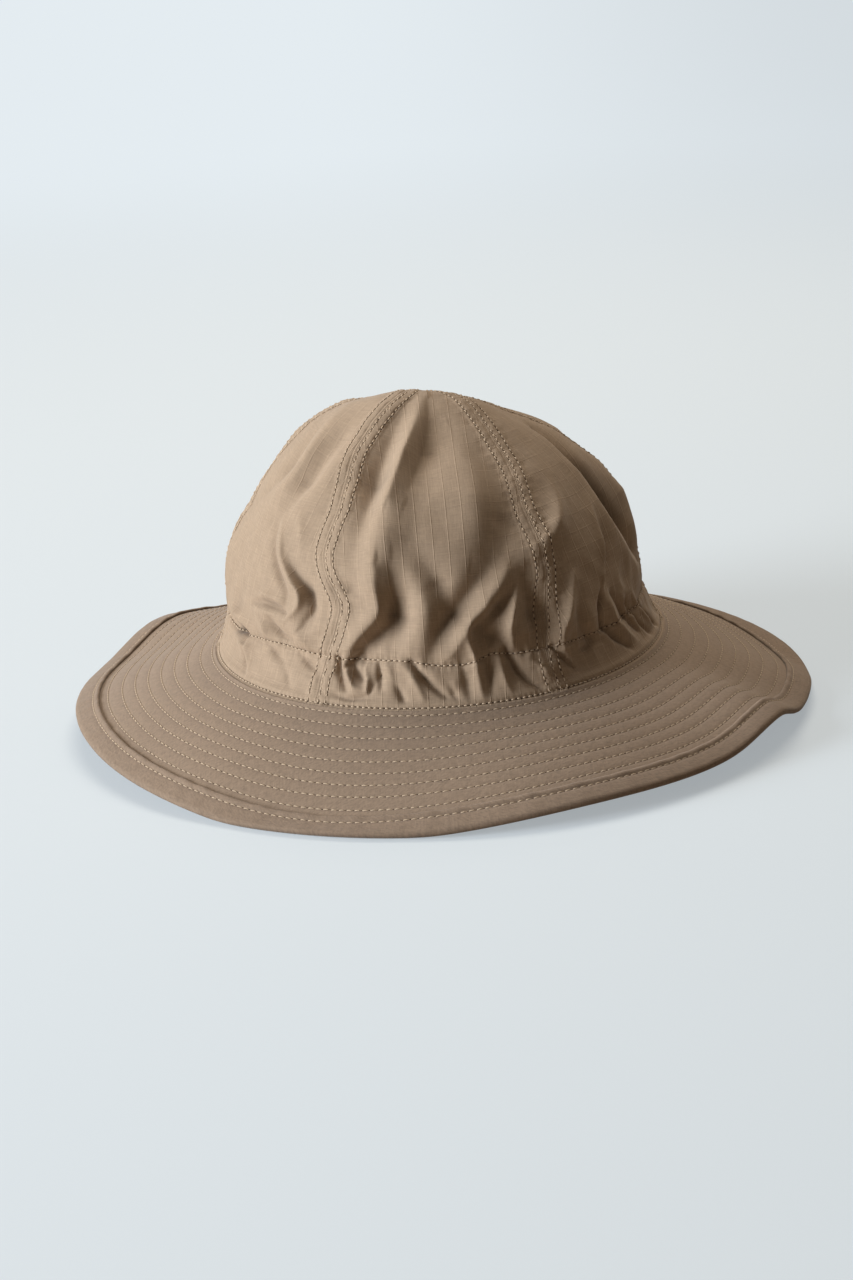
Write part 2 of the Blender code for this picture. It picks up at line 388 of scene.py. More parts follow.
def clothNoise(points, scale, seed):
    flat = points.reshape(-1, 3) / scale + seed
    return np.array([noise.noise(p) for p in flat.tolist()]).reshape(points.shape[:-1])


# The crown's surface: angles in degrees from the front towards +X, rises above the foot

crownShape = {
    "roundness": 2.27,
    "flare": 8.0 * mm,
    "flareHeight": 7.5 * mm,
    "pinch": 1.0 * mm,
    "channel": 16.5 * mm,
    "lean": np.array([-3.0, 16.0]) * mm,
    "tip": 0.4 * mm,
    "sags": [  # how the soft top lies: middle in x and y, width in x and y, height, in mm
        (-5, -7, 36, 20, 7.6),
        (-2, 18, 14, 11, -3.6),
        (2, 42, 34, 22, -4.6),
        (34, 14, 18, 30, -3.2),
        (-38, 16, 22, 30, 2.6),
    ],
}


def crownHalf(rise, shape=crownShape):
    up = np.clip(rise, 0, crownHeight)
    shrink = (1 - (up / crownHeight) ** shape["roundness"]) ** (1 / shape["roundness"])
    flare = shape["flare"] * np.exp(-up / shape["flareHeight"]) * shrink
    pinch = shape["pinch"] * bell(rise - shape["channel"], 5 * mm)
    dome = seamHalf - shape["flare"]
    return shrink * dome[0] + flare - pinch, shrink * dome[1] + flare - pinch


def crownBase(angle, rise):
    angle, rise = np.broadcast_arrays(np.asarray(angle, float), np.asarray(rise, float))
    turn = np.radians(angle)
    halfWidth, halfLength = crownHalf(rise)
    lean = (np.clip(rise, 0, crownHeight) / crownHeight) ** 4
    x = halfWidth * np.sin(turn) + crownShape["lean"][0] * lean
    y = -halfLength * np.cos(turn) + crownShape["lean"][1] * lean
    z = footHeight + rise
    top = smoothStep(rise, 45 * mm, 88 * mm)
    for middleX, middleY, wideX, wideY, height in crownShape["sags"]:
        away = np.hypot((x / mm - middleX) / wideX, (y / mm - middleY) / wideY)
        z = z + height * mm * bell(away, 1.0) * top
    return np.stack([x, y, z], -1)


def climbTable():
    # the way up the crown measured along the cloth, for each rise
    turns = np.linspace(0, pi / 2, 1500)
    rises = crownHeight * np.sin(turns) ** (2 / crownShape["roundness"])
    radius = crownHalf(rises)[0]
    steps = np.hypot(np.diff(rises), np.diff(radius))
    return rises, np.concatenate([[0], np.cumsum(steps)])


riseTable, climbs = climbTable()
crownClimb = climbs[-1]


def riseAt(climb):
    return np.interp(climb, climbs, riseTable)


def climbAt(rise):
    return np.interp(rise, riseTable, climbs)


# The folds: where each runs (degrees, mm above the foot), its width to its left and right, and how far it
# stands out at its start, middle and end, in mm; a negative one is a valley. Some lean over by a last number.

folds = [
    # how the whole side bulges or sinks
    ([(-95, 56), (-94, 45), (-93, 34), (-90, 24)], (17, 17), (0.6, 3.4, 2.4)),
    ([(-118, 88), (-112, 78), (-104, 68)], (12, 12), (0.6, 1.6, 0.6)),
    ([(93, 74), (94, 64), (93, 52), (91, 40), (89, 30)], (8, 10), (0.2, 3.6, 0.5)),
    # front panel, upper
    ([(-5, 95), (-16, 90), (-21.5, 82), (-22.5, 74), (-23.5, 66), (-25, 55)], (5.5, 6), (-0.8, -4.4, -0.6)),
    ([(1, 93.5), (-7, 88), (-11.5, 81), (-14.5, 72)], (5, 3.6), (0.1, 2.7, 1.7)),
    ([(10, 94), (3, 89), (-3.5, 82), (-7.5, 74)], (3, 9), (-0.8, -3, -0.3)),
    ([(-13.5, 76), (-15.5, 66), (-17, 56), (-17, 46)], (7, 7.5), (1, 2.2, 1.7)),
    ([(-17, 50), (-17, 42), (-16.5, 35), (-19.5, 30), (-23.5, 24), (-25.5, 17)], (6, 3), (1.4, 3.3, 1.5), 1),
    ([(-12.5, 52), (-12, 45), (-12.5, 38), (-14, 31), (-18, 26), (-21.5, 21)], (3, 8), (-0.6, -4.4, -2)),
    ([(-12, 58), (-8, 50), (-5, 42), (-3.5, 34), (-3.5, 25), (-5, 18)], (7, 6), (0.4, 1.6, 0.8)),
    ([(-7, 58), (-1, 49), (1.5, 42), (3, 36)], (6, 6), (-0.6, -2.2, -0.6)),
    ([(17, 50), (11, 43.5), (6, 37), (2.5, 32), (-0.5, 26), (-3, 19)], (5, 5.4), (-0.8, -4, -1.6)),
    ([(21, 47), (16.5, 40), (12, 34.5), (8.5, 30), (5.5, 25), (3, 20)], (4.5, 3.4), (0.8, 2.2, 1)),
    ([(8.5, 31), (7.5, 25), (8.5, 18), (9, 10), (9.5, 3)], (2.2, 2.2), (0.8, 2, 0.6)),
    ([(27, 45), (22, 39.5), (17.5, 35), (13.5, 31), (10, 28)], (3.6, 4.2), (-0.6, -3.2, -1.6)),
    ([(10.5, 27.5), (13, 25), (16.5, 22), (18.5, 18)], (5.2, 5), (-1.4, -3.6, -1.4)),
    ([(24.5, 43), (21.5, 35.5), (19.5, 29), (18.8, 24), (19.5, 17.5)], (2.4, 3), (0.8, 2.8, 1.4)),
    ([(18, 87), (17, 77), (14.5, 67), (12, 58)], (11, 7), (0.4, 1.8, 0.6)),
    ([(30, 82), (28.5, 72), (26, 63), (21.5, 55), (18, 48)], (9, 6.5), (-0.4, -2, -0.6)),
    ([(50, 72), (47, 65), (41.5, 58), (36, 54), (30, 51)], (5, 5), (0.4, 2.9, 0.6)),
    ([(-29, 44), (-25, 43.5), (-21, 42)], (3.2, 3.2), (-0.8, -1.7, -0.4)),
    # across the wearer's front left seam, low
    ([(27, 44), (27, 37), (27.5, 30), (27.5, 24), (26.5, 18)], (5.5, 6.5), (-0.8, -4, -1.6)),
    ([(42, 40), (39, 33), (35.5, 26), (33.3, 20), (33.8, 14)], (2.6, 4.5), (0.8, 3, 1.2)),
    ([(31, 16), (33, 11.5), (35.8, 6.5)], (1.5, 1.5), (-1.4, -2, -0.8)),
    # front left panel of the wearer
    ([(72, 84), (69.5, 76), (68.5, 66), (67.5, 56), (69.5, 46), (73, 37), (77, 29)], (6, 2), (0.4, 1.2, 0.7), 0.8),
    ([(78, 84), (75.5, 76), (75.5, 66), (76, 56), (78.5, 46), (82, 36), (85, 29)], (3, 6), (-2.4, -7.6, -1.5)),
    ([(63, 61), (60, 55), (57.5, 46.5), (56, 40), (52, 31)], (3.2, 1.8), (0.3, 1.7, 1.3), 0.9),
    ([(62, 50), (60, 44), (56, 37), (54, 31)], (2.6, 4.4), (-0.5, -1.7, -0.8)),
    ([(52, 33), (50.5, 27.5), (49, 22), (49.5, 17)], (1.7, 2.1), (-1.2, -3.2, -1.4)),
    ([(49, 18), (53, 11.5), (58, 5)], (1.4, 1.6), (-1.2, -2.4, -1)),
    ([(57, 27), (61, 17.5), (66, 8)], (1.8, 2), (-1.2, -2.5, -1)),
    ([(64, 20), (68.5, 9.5), (72, 4)], (1.5, 1.7), (-1.2, -2.2, -0.9)),
    ([(73, 15), (78, 6.5), (80, 2.5)], (1.4, 1.6), (-1.2, -2.2, -0.9)),
    ([(40, 26), (42, 17), (48, 12)], (3, 2.4), (-0.6, -1.6, -0.6)),
    ([(46, 15), (41, 12.5), (37, 12.5)], (2.5, 3), (-0.4, -1.4, -0.5)),
    ([(54, 24), (56, 15), (61, 7)], (2.6, 2.4), (0.8, 1.5, 0.6)),
    ([(62, 24), (65, 14), (69, 6)], (2.2, 2), (0.6, 1.3, 0.5)),
    ([(69, 21), (73, 11), (76, 4)], (2, 1.8), (0.6, 1.3, 0.5)),
    ([(44, 30), (44, 22), (46, 15)], (5, 4), (0.4, 1.2, 0.5)),
    # front right panel of the wearer
    ([(-45, 91), (-51, 83), (-55, 75), (-57.5, 69), (-62, 61)], (6.5, 6), (-0.8, -3, -0.8)),
    ([(-66, 92), (-63, 85), (-62, 76), (-66, 68)], (6, 5), (0.4, 1.6, 0.6)),
    ([(-72, 86), (-71, 80), (-75, 72), (-84, 65)], (4.5, 5), (-0.4, -1.5, -0.5)),
    ([(-42, 88), (-42, 80), (-44, 70)], (8, 7), (0.3, 1.5, 0.4)),
    ([(-50, 66), (-46, 60), (-44, 54)], (4, 4), (0.3, 1, 0.3)),
    ([(-56, 60), (-52.5, 51), (-47, 45), (-42, 40), (-41, 35), (-44, 30.5)], (4.4, 1.8), (0.5, 2.9, 1.4), 1.2),
    ([(-48, 49), (-43.5, 44), (-39, 39.5), (-37.4, 34), (-40, 28.5)], (1.6, 4.2), (-0.4, -3.2, -1.5)),
    ([(-60, 59), (-58, 51), (-53, 44), (-48, 39), (-47, 34)], (2.4, 2), (-0.6, -2, -1)),
    ([(-62, 30.5), (-56, 32), (-50, 32), (-46, 30.5)], (1, 1), (-0.8, -1.9, -1.2)),
    ([(-61, 33.5), (-55, 35), (-48, 34.5)], (2.6, 1.6), (0.5, 1.6, 1)),
    ([(-60, 28), (-54, 29), (-49, 28)], (1.8, 2.6), (0.4, 1.2, 0.6)),
    ([(-53, 26), (-50, 22.5), (-45.5, 20)], (2.2, 2.2), (-1.2, -3, -1.2)),
    ([(-58, 27), (-55, 23), (-53, 18)], (3, 2), (0.4, 1.4, 0.7)),
    ([(-44, 26), (-41, 23), (-38, 19)], (3, 3), (0.3, 1.1, 0.4)),
    ([(-78.5, 18.5), (-71.5, 17.5), (-65, 15.5)], (2.3, 3), (-1.6, -6.2, -1.6)),
    ([(-80, 22), (-72, 22.5), (-64, 20.5)], (2.8, 2), (1.2, 3.2, 1)),
    ([(-72, 12.5), (-66, 11), (-60, 12)], (2.2, 2.4), (0.5, 1.6, 0.5)),
    ([(-63, 15), (-61, 9), (-59, 4)], (2, 2.2), (1, 1.4, 0.4)),
    ([(-67, 14), (-64, 8), (-61, 4)], (1.9, 1.8), (-1.2, -1.7, -0.5)),
    # along the channel, front
    ([(-53.5, 17), (-50.5, 14.5), (-47, 12.5)], (1.6, 1.8), (-0.9, -1.5, -0.5)),
    ([(-41, 16), (-38, 13.5), (-34.5, 11.5)], (1.6, 1.6), (-0.8, -1.5, -0.8)),
    ([(-46, 11), (-44, 7), (-42, 4)], (2.2, 2.2), (-0.4, -0.8, -0.3)),
    ([(-28, 17), (-28, 12.5), (-25.5, 6.5)], (1.5, 1.7), (-1.6, -2.5, -1)),
    ([(-26.4, 18), (-25.6, 13), (-23.5, 8), (-21.5, 7)], (1.5, 1.4), (0.8, 1.7, 0.8)),
    ([(-23.8, 14.5), (-22.6, 12), (-21, 10)], (1.4, 1.4), (-1.2, -2.3, -1.1)),
    ([(-20.5, 14), (-19.5, 10), (-19.5, 5.5)], (1.3, 1.3), (0.8, 1.5, 0.8)),
    ([(-28, 4.5), (-24, 3.5), (-19.5, 5), (-18, 9)], (1.3, 1.3), (-0.7, -1.4, -0.8)),
    ([(-16.8, 15.5), (-16.4, 12), (-15.8, 7.5)], (1.3, 1.5), (-1.4, -2.3, -0.9)),
    ([(-14, 15), (-12.5, 9.5), (-10, 4)], (1.8, 1.8), (0.6, 0.4, -0.8)),
    ([(-12.5, 10), (-11, 6.5), (-9.5, 3)], (1.5, 1.5), (-0.4, -1.2, -0.6)),
    ([(-8, 17), (-5.5, 12.5), (-3.2, 9), (0.5, 4.5)], (1.4, 1.9), (-1.6, -2.5, -1)),
    ([(-9.5, 15), (-7, 10), (-5, 4)], (2, 1.6), (0.6, 1.2, 0.5)),
    ([(1.5, 9), (2.5, 5.5), (3.5, 3)], (1.6, 1.6), (-0.3, -1, -0.4)),
    ([(5.5, 13), (6, 8), (6.5, 3)], (1.8, 1.8), (-0.6, -0.9, -0.4)),
    ([(12, 15), (12.2, 9.5), (11.8, 4)], (2, 2), (-0.9, -1.5, -0.5)),
    ([(15, 17), (15.5, 10), (16.5, 4)], (2.2, 1.8), (0.5, 1.1, 0.4)),
    ([(17.8, 18), (20, 10), (24, 3.5)], (1.8, 2.3), (-1.6, -2.3, -0.9)),
    ([(24, 13), (27, 8), (29, 4)], (2, 2), (0.4, 0.9, 0.3)),
    # the back, as soft as the front
    ([(128, 88), (120, 72), (114, 58)], (9, 8), (0.4, 2.4, 0.8)),
    ([(132, 58), (126, 40), (122, 24)], (5, 6), (-0.8, -2.8, -1)),
    ([(150, 52), (146, 36), (143, 20)], (6, 5), (0.6, 2.4, 0.8)),
    ([(176, 84), (170, 66), (168, 50)], (10, 10), (-0.4, -2.4, -0.8)),
    ([(186, 60), (188, 44), (184, 26)], (6, 5), (0.6, 2.6, 1)),
    ([(200, 56), (198, 40), (204, 24)], (4.5, 5.5), (-0.8, -2.8, -1)),
    ([(220, 82), (228, 66), (226, 48)], (9, 9), (0.4, 2.2, 0.8)),
    ([(238, 50), (244, 36), (240, 22)], (4.5, 5), (-0.8, -2.6, -1)),
    ([(252, 66), (258, 48), (256, 30)], (7, 7), (0.6, 2.2, 0.8)),
    ([(104, 46), (108, 34), (104, 22)], (4.5, 4.5), (-0.6, -2.4, -0.8)),
]

fieldShape = {
    "angles": 720,
    "rows": 200,
    "foldDepth": 1.35,  # all the folds' lifts are scaled by this
    "softness": 0.9,  # mm
    "crumple": 1.1,  # mm
    "gathers": 74,
    "seed": 11,
    # how deep a fold may go, and how much deeper between two rises, in mm: the elastic and the sweatband stop it
    "deepest": 3.5,
    "deeper": [(13.5, 19, 4), (18, 27, 20)],
    "hollow": 5.2 * mm,  # a spot this far below the cloth around it gets the darkest painted shade
    "blur": (14, 9),
}


def smoothPath(path, count):
    points = np.array(path, float)
    if len(points) == 2:
        points = np.array([points[0], points.mean(0), points[1]])
    grown = np.concatenate([[2 * points[0] - points[1]], points, [2 * points[-1] - points[-2]]])
    spread = np.linspace(0, len(points) - 1, count)
    found = []
    for s in spread:
        i = min(int(s), len(points) - 2)
        t = s - i
        a, b, c, d = grown[i : i + 4]
        bend, twist = 2 * a - 5 * b + 4 * c - d, 3 * b - a - 3 * c + d
        found.append(0.5 * (2 * b + (c - a) * t + bend * t**2 + twist * t**3))
    return np.array(found)


class CrownField:
    # the folded crown, as a grid of points round the hat and up the cloth
    def __init__(self, shape):
        self.step = 360 / shape["angles"]
        self.angles = np.arange(shape["angles"]) * self.step
        self.climb = np.linspace(0, crownClimb - climbAway(crownShape["tip"]), shape["rows"])
        self.rises = riseAt(self.climb)
        self.base = crownBase(self.angles[:, None], self.rises[None, :])
        self.outward = normalsOf(self.base)
        self.around = np.roll(self.base, -1, 0) - np.roll(self.base, 1, 0)
        self.around /= np.maximum(np.linalg.norm(self.around, axis=2, keepdims=True), 1e-12)
        self.lift = np.zeros(self.base.shape[:2])
        self.slide = np.zeros(self.base.shape[:2])
        self.shade = np.zeros(self.base.shape[:2])

    def addFold(self, path, widths, lifts, lean=0.0):
        line = smoothPath(path, 5 * len(path))
        route = crownBase(line[:, 0], line[:, 1] * mm)
        reach = 3.6 * max(widths)
        climbed = climbAt(line[:, 1] * mm) / mm
        rows = np.where((self.climb / mm > climbed.min() - reach) & (self.climb / mm < climbed.max() + reach))[0]
        middle = (line[:, 0].min() + line[:, 0].max()) / 2
        narrow = max(crownHalf(self.rises[rows])[0].min() / mm, 12)
        half = np.ptp(line[:, 0]) / 2 + np.degrees(reach / narrow)
        away = (self.angles - middle + 180) % 360 - 180
        columns = np.where(np.abs(away) < half)[0]
        window = np.ix_(columns, rows)
        spots, outward = self.base[window], self.outward[window]
        nearest = np.full(spots.shape[:2], 1e9)
        progress, side = np.zeros_like(nearest), np.zeros_like(nearest)
        for k in range(len(route) - 1):
            leg = route[k + 1] - route[k]
            t = np.clip((spots - route[k]) @ leg / (leg @ leg), 0, 1)
            off = spots - route[k] - t[..., None] * leg
            distance = np.linalg.norm(off, axis=2)
            closer = distance < nearest
            nearest = np.where(closer, distance, nearest)
            progress = np.where(closer, (k + t) / (len(route) - 1), progress)
            turn = np.einsum("ijk,ijk->ij", np.cross(leg, off), outward)
            side = np.where(closer, turn, side)
        first, second = widths if line[0, 1] < line[-1, 1] else widths[::-1]
        width = np.where(side < 0, second, first)
        lift = np.interp(progress, [0, 0.5, 1], lifts)
        shape = crest(nearest / mm, width)
        self.lift[window] += lift * mm * shape
        dark = bell(nearest / mm, 2.1 * width) * smoothStep(-lift, 4.5, 9)
        self.shade[window] = np.maximum(self.shade[window], dark)  # painted shade for the deepest folds, where the light is kept out
        self.slide[window] += lean * mm * shape * np.sin(pi * np.clip(progress, 0, 1)) ** 0.7

    def addGathers(self, shape):
        # small puckers that the elastic pulls in on either side of its channel, away from the front
        chance = np.random.RandomState(shape["seed"])
        channel = crownShape["channel"] / mm
        for angle in np.linspace(0, 360, shape["gathers"], endpoint=False):
            angle += chance.uniform(-2, 2)
            slant, size, reach = chance.uniform(-3, 3), chance.uniform(0.3, 1.0), chance.uniform(5, 17)
            if min(abs(angle - 360), angle) < 82:
                size *= 0.25
            width = chance.uniform(1.3, 2.3)
            below = [(angle - slant, 3.5), (angle, channel)]
            above = [(angle, channel), (angle + slant * reach / 13, channel + reach)]
            self.addFold(below, (width, width), (-0.3 * size, -size, -size))
            self.addFold(above, (width * 1.3, width * 1.3), (-size, -0.7 * size, -0.2 * size))

    def spread(self, coarse, step):
        # fills in a grid that was made at every step-th point
        rows = np.linspace(0, coarse.shape[1] - 1, self.lift.shape[1])
        return sampled(coarse, np.arange(self.lift.shape[0]) / step, rows)

    def addSoftness(self, shape):
        points = self.base[::4, ::4]
        rough = clothNoise(points, 34 * mm, 3.1) * 1.5 + clothNoise(points, 13 * mm, 8.7) * 0.5
        self.lift += self.spread(rough, 4) * shape["softness"] * mm * smoothStep(self.rises, 0, 14 * mm)
        # small sharp crumples, most of them just above the channel
        crumple = 0.3 - np.abs(clothNoise(self.base[::2, ::2], 11 * mm, 21.3))
        most = 0.3 + bell(self.rises - 22 * mm, 18 * mm)
        self.lift += self.spread(crumple, 2) * shape["crumple"] * mm * most

    def settle(self, shape):
        foot = smoothStep(self.rises, 0.0, 4.5 * mm)  # the sewn foot stays on its oval
        deepest = shape["deepest"] * mm
        for low, high, more in shape["deeper"]:
            deepest = deepest + smoothStep(self.rises, low * mm, high * mm) * more * mm
        self.lift = np.maximum(self.lift, -deepest)
        self.points = self.base + self.outward * (self.lift * foot)[..., None]
        self.points += self.around * (self.slide * foot)[..., None]
        self.normals = normalsOf(self.points)
        # how far each spot lies below the cloth around it, which gets painted shade
        around = blurred(blurred(self.lift, shape["blur"][0]), shape["blur"][1], axis=1, edge="edge")
        self.hollow = np.clip((around - self.lift) / shape["hollow"] + self.shade, 0, 1)

    def at(self, angle, climb):
        steps = np.asarray(angle, float) / self.step
        rows = np.interp(climb, self.climb, np.arange(len(self.climb)))
        place = sampled(self.points, steps, rows, paired=True)
        facing = sampled(self.normals, steps, rows, paired=True)
        return place, facing / np.linalg.norm(facing, axis=-1, keepdims=True)

    def hollowAt(self, angle, climb):
        rows = np.interp(climb, self.climb, np.arange(len(self.climb)))
        return sampled(self.hollow, np.asarray(angle, float) / self.step, rows, paired=True)


def climbAway(radius):
    halves = crownHalf(riseTable)[0]
    return crownClimb - np.interp(-radius, -halves, climbs)


def sampled(grid, steps, rows, paired=False):
    # values between a grid's points: the first index wraps round the hat
    if not paired:
        steps, rows = np.meshgrid(steps, rows, indexing="ij")
    i, j = np.floor(steps).astype(int), np.clip(np.floor(rows).astype(int), 0, grid.shape[1] - 2)
    s, t = steps - i, np.clip(rows - j, 0, 1)
    if grid.ndim == 3:
        s, t = s[..., None], t[..., None]
    a, b = i % grid.shape[0], (i + 1) % grid.shape[0]
    low, high = (grid[a, k] * (1 - s) + grid[b, k] * s for k in (j, j + 1))
    return low * (1 - t) + high * t


crown = CrownField(fieldShape)
for path, widths, lifts, *lean in folds:
    crown.addFold(path, widths, [fieldShape["foldDepth"] * lift for lift in lifts], *lean)
crown.addGathers(fieldShape)
crown.addSoftness(fieldShape)
crown.settle(fieldShape)
print("crown surface folded")

# Crown panels

seamShift = {  # how far a seam wanders from its straight line: (mm above the foot, degrees)
    330: [
        (0, -2.5), (10, -3), (20, -1), (30, 1.5), (36.5, 2.6), (40.5, 1.2), (45, -1.5), (50, -4), (55, -5),
        (60, -4.6), (70, -3), (80, -4), (85, -4.6), (90, -1), (93, 6), (95.3, 18), (96.2, 10),
    ],
    30: [
        (0, -1), (10, -1.5), (20, 0), (38, 2), (44, 3.4), (60, 3.2), (66, 3.2), (73, 5), (79, 7),
        (85, 8), (91.5, 11), (94.5, 14), (96, 8),
    ],
    90: [(0, 2), (18, 5), (40, 9), (70, 10), (90, 10)],
    150: [(0, 0), (60, -2), (90, -4)],
    210: [(0, 0), (60, 2), (90, 4)],
    270: [(0, -2), (18, -5), (40, -9), (70, -10), (90, -10)],
}

panelSettings = {
    "columns": 150,
    "thickness": 0.45 * mm,
    "seamGap": 0.012 * mm,
    "stitchAway": 4.0 * mm,  # from the seam to each outer row of topstitching
    "innerRow": 0.9 * mm,
    "bandEdge": 5.0 * mm,
    "footStitch": 1.7 * mm,
    "footTuck": 0.25 * mm,
    "fullness": 0.68,  # a panel's area over that of its box
}

panelMiddles = {
    0: "crown_panel_front",
    60: "crown_panel_front_left",
    120: "crown_panel_back_left",
    180: "crown_panel_back",
    240: "crown_panel_back_right",
    300: "crown_panel_front_right",
}


def seamAngle(seam, climb):
    rises, degrees = np.array(seamShift[seam % 360]).T
    steps = np.linspace(0, crownClimb, 160)
    line = np.interp(steps, climbAt(rises * mm), degrees)
    return seam + np.interp(climb, steps, blurred(line, 3, edge="edge"))


def planRadius(climb):
    return np.maximum(crownHalf(riseAt(climb))[0], 0.3 * mm)


channelMarks = [  # the stitched line along the top of the elastic's channel: (degrees, mm above the foot)
    (-180, 16.5), (-90, 15.5), (-75, 15), (-60, 17.3), (-50, 18.3), (-40, 17.8), (-30, 17), (-10, 17.5), (-5, 16.3),
    (0, 15.1), (6, 15), (10, 16.2), (14, 17.8), (19, 16.4), (35, 16), (60, 15.5), (90, 16), (180, 16.5),
]


def channelClimb(angle):
    turned = (np.asarray(angle) + 180) % 360 - 180
    level = np.interp(turned, *np.array(channelMarks).T)
    turn = np.radians(angle)
    away = smoothStep(np.abs(turned), 60, 90)
    wave = away * (0.5 * np.sin(13 * turn + 2.0) + 0.3 * np.sin(29 * turn))
    return climbAt((level + wave) * mm)


def seamRelief(away, climb, phase):
    # away is the distance from the seam in metres; the band beside it is thicker, and dips at its stitching
    use = panelSettings
    pucker = np.sin(climb / (0.62 * mm) + phase) * 0.5 + np.sin(climb / (1.9 * mm) + phase * 2.1) * 0.6
    band = 0.42 * (1 - smoothStep(away, use["bandEdge"] - 1.2 * mm, use["bandEdge"] + 0.8 * mm))
    dip = -(0.28 + 0.15 * pucker) * bell(away - use["stitchAway"], 0.5 * mm)
    dip -= 0.22 * bell(away - use["innerRow"], 0.4 * mm)
    join = -0.10 * bell(away, 0.35 * mm) + 0.22 * pucker * bell(away - 2.2 * mm, 1.3 * mm)
    wrinkle = 0.2 * pucker * bell(away - 5.8 * mm, 2.2 * mm)
    return (band + dip + join + wrinkle) * mm


def crownRelief(angle, climb, left, right):
    radius = planRadius(climb)
    fromLeft = np.radians(angle - left) * radius
    fromRight = np.radians(right - angle) * radius
    relief = seamRelief(fromLeft, climb, 1.3) + seamRelief(fromRight, climb, 4.4)
    channel = climb - channelClimb(angle)
    relief += (-0.45 * bell(channel, 0.9 * mm) + 0.25 * bell(channel + 2.2 * mm, 1.3 * mm)) * mm
    foot = panelSettings["footStitch"]
    relief += (-0.42 * bell(climb - foot, 0.5 * mm) + 0.2 * bell(climb - 0.7 * mm, 0.5 * mm)) * mm
    relief += 0.25 * mm * bell(climb - foot - 1.8 * mm, 1.0 * mm)
    arc = np.radians(angle) * seamHalf.mean()
    relief += 0.13 * mm * np.cos(2 * pi * arc / (2.3 * mm)) * bell(climb - foot, 1.3 * mm)
    pull = np.sin(arc / (0.55 * mm) + 2.5 * np.sin(arc / (4.1 * mm)))
    relief += 0.17 * mm * pull * bell(channel, 2.4 * mm)
    nearest = np.minimum(fromLeft, fromRight)
    # darker lines along the seam and its outer rows of stitching
    seamsAndFoldShade = 0.12 * bell(nearest, 0.3 * mm) + 0.12 * bell(nearest - panelSettings["stitchAway"], 0.45 * mm)
    # painted shade in the fold hollows
    seamsAndFoldShade += 0.9 * crown.hollowAt(angle, climb)
    # darker along the channel and foot stitching and along the bottom edge
    seamsAndFoldShade += 0.10 * bell(channel, 0.5 * mm) + 0.3 * bell(climb - foot, 0.4 * mm) + 0.5 * bell(climb, 0.4 * mm)
    return relief, np.clip(seamsAndFoldShade, 0, 1)


def panelClimbs():
    low = np.arange(0, 24 * mm, 0.55 * mm)
    high = np.linspace(24 * mm, crown.climb[-1], 152)
    return np.concatenate([low, high])


def makePanel(middle, name):
    use = panelSettings
    climb = panelClimbs()
    left, right = seamAngle(middle - 30, climb), seamAngle(middle + 30, climb)
    trim = np.degrees(use["seamGap"] / planRadius(climb))
    across = np.linspace(-1, 1, use["columns"])
    across = (across + 0.32 * np.sin(pi * across) / pi)[:, None]
    angle = (left + trim) * (1 - across) / 2 + (right - trim) * (1 + across) / 2
    climbGrid = np.broadcast_to(climb, angle.shape)
    place, facing = crown.at(angle, climbGrid)
    relief, seamsAndFoldShade = crownRelief(angle, climbGrid, left, right)
    outer = place + facing * relief[..., None]
    inner = place + facing * (np.minimum(relief, 0)[..., None] - use["thickness"])
    for grid in (outer, inner):
        grid[..., 2] = np.maximum(grid[..., 2], footHeight - use["footTuck"])
    radius = planRadius(climb)
    uv = np.stack([np.radians(angle - middle) * radius + middle * mm, climbGrid], -1)
    title = name.replace("crown_panel", "crownPanel")
    piece = shellPiece(title, outer, inner, False, "crownCloth", "crown_cloth", (name,), uv, seamsAndFoldShade)
    mergeTip(piece)


def mergeTip(piece):
    # the columns run together at the tip, so points closer than a thread are made one
    mesh = bmesh.new()
    mesh.from_mesh(piece.data)
    top = max(v.co.z for v in mesh.verts) - 1.2 * mm
    bmesh.ops.remove_doubles(mesh, verts=[v for v in mesh.verts if v.co.z > top], dist=0.03 * mm)
    mesh.to_mesh(piece.data)
    mesh.free()


for middle, name in panelMiddles.items():
    makePanel(middle, name)
print("crown panels sewn")

# The brim's surface: share runs from 0 at the crown to 1 at the edge

brimShape = {
    "drop": 20.4,
    "waves": [  # centre and half width in degrees, and mm of drop
        (340, 27, 8.0), (54, 8, -5.0), (102, 19, 8.5), (141, 25, 7.0), (190, 18, 8.5), (236, 12, -7.5),
        (281, 26, -3.5),
    ],
    "rows": [1.5, 6.4, 11.9, 17.3, 22.8, 28.2, 33.6, 39.0, 45.0],  # mm from the crown to each row of stitching
    "upper": 0.9 * mm,  # the upper cloth's face above the middle layer
    "lower": -0.9 * mm,
    "cloth": 0.4 * mm,
    "binding": 1.6 * mm,
    "angles": 640,
}


def brimDrop(angle):
    drop = np.full(np.shape(angle), brimShape["drop"])
    for centre, halfWidth, extra in brimShape["waves"]:
        away = (angle - centre + 180) % 360 - 180
        drop = drop + extra * bell(away, halfWidth)
    return drop * mm


brimFolds = [  # centre in degrees, half width in degrees, where along the brim it is most, and its lift in mm
    (61, 5, 0.85, 2.6),
    (50, 6, 0.9, -1.2),
    (70, 7, 0.7, -1.0),
    (20, 14, 0.5, 0.8),
    (318, 12, 0.6, 0.7),
    (120, 12, 0.6, -0.8),
    (160, 10, 0.7, 1.2),
    (212, 9, 0.6, 1.0),
    (250, 10, 0.6, -0.9),
]


